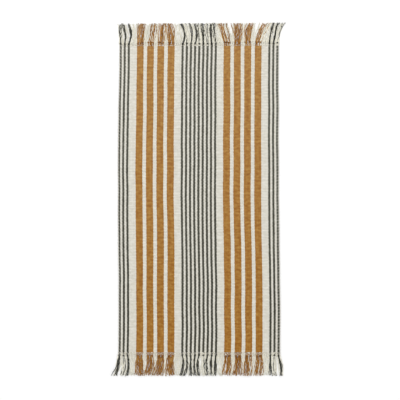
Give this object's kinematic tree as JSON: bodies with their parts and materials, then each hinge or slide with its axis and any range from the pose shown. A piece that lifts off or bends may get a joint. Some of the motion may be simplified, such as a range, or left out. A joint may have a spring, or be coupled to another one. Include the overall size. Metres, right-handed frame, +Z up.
{
  "type": "bath mat",
  "caption": "Flat-woven cotton bath mat with lengthwise stripes, corded selvedges, twined header rows and a tasselled fringe at each end that swings on its header row.",
  "frame": {"origin": "middle of the underside, on the floor that the mat lies on", "axes": "+Z up out of the floor, +Y along the mat towards the head end, X across the mat"},
  "size_m": [0.54, 1.1, 0.0036],
  "materials": {
    "striped_cloth": "cream cotton flat weave with mustard and charcoal warp stripes",
    "cream_yarn": "undyed plied cotton yarn",
    "mustard_yarn": "mustard-brown plied cotton yarn",
    "charcoal_yarn": "charcoal plied cotton yarn"
  },
  "bodies": {
    "mat": {"woven_cloth": "striped_cloth", "selvedge_cord_left": "cream_yarn", "selvedge_cord_right": "cream_yarn", "head_header_row": "cream_yarn", "foot_header_row": "cream_yarn"},
    "head_fringe": {"head_tassel_01_charcoal": "charcoal_yarn", "head_tassel_02_charcoal": "charcoal_yarn", "head_tassel_03_charcoal": "charcoal_yarn", "head_tassel_04_cream": "cream_yarn", "head_tassel_05_mustard": "mustard_yarn", "head_tassel_06_mustard": "mustard_yarn", "head_tassel_07_mustard": "mustard_yarn", "head_tassel_08_mustard": "mustard_yarn", "head_tassel_09_cream": "cream_yarn", "head_tassel_10_charcoal": "charcoal_yarn", "head_tassel_11_charcoal": "charcoal_yarn", "head_tassel_12_charcoal": "charcoal_yarn", "head_tassel_13_charcoal": "charcoal_yarn", "head_tassel_14_charcoal": "charcoal_yarn", "head_tassel_15_charcoal": "charcoal_yarn", "head_tassel_16_charcoal": "charcoal_yarn", "head_tassel_17_charcoal": "charcoal_yarn", "head_tassel_18_charcoal": "charcoal_yarn", "head_tassel_19_cream": "cream_yarn", "head_tassel_20_mustard": "mustard_yarn", "head_tassel_21_mustard": "mustard_yarn", "head_tassel_22_mustard": "mustard_yarn", "head_tassel_23_mustard": "mustard_yarn", "head_tassel_24_cream": "cream_yarn", "head_tassel_25_charcoal": "charcoal_yarn", "head_tassel_26_charcoal": "charcoal_yarn", "head_tassel_27_charcoal": "charcoal_yarn"},
    "foot_fringe": {"foot_tassel_01_charcoal": "charcoal_yarn", "foot_tassel_02_charcoal": "charcoal_yarn", "foot_tassel_03_charcoal": "charcoal_yarn", "foot_tassel_04_cream": "cream_yarn", "foot_tassel_05_mustard": "mustard_yarn", "foot_tassel_06_mustard": "mustard_yarn", "foot_tassel_07_mustard": "mustard_yarn", "foot_tassel_08_mustard": "mustard_yarn", "foot_tassel_09_cream": "cream_yarn", "foot_tassel_10_charcoal": "charcoal_yarn", "foot_tassel_11_charcoal": "charcoal_yarn", "foot_tassel_12_charcoal": "charcoal_yarn", "foot_tassel_13_charcoal": "charcoal_yarn", "foot_tassel_14_charcoal": "charcoal_yarn", "foot_tassel_15_charcoal": "charcoal_yarn", "foot_tassel_16_charcoal": "charcoal_yarn", "foot_tassel_17_charcoal": "charcoal_yarn", "foot_tassel_18_charcoal": "charcoal_yarn", "foot_tassel_19_cream": "cream_yarn", "foot_tassel_20_mustard": "mustard_yarn", "foot_tassel_21_mustard": "mustard_yarn", "foot_tassel_22_mustard": "mustard_yarn", "foot_tassel_23_mustard": "mustard_yarn", "foot_tassel_24_cream": "cream_yarn", "foot_tassel_25_charcoal": "charcoal_yarn", "foot_tassel_26_charcoal": "charcoal_yarn", "foot_tassel_27_charcoal": "charcoal_yarn"}
  },
  "joints": [
    {"name": "head_fringe_swing", "type": "hinge", "parent": "mat", "child": "head_fringe", "pos_m": [0, 0.4805, 0.0018], "axis": [1, 0, 0], "range_deg": [-90, 120]},
    {"name": "foot_fringe_swing", "type": "hinge", "parent": "mat", "child": "foot_fringe", "pos_m": [0, -0.4805, 0.0018], "axis": [-1, 0, 0], "range_deg": [-90, 120]}
  ]
}
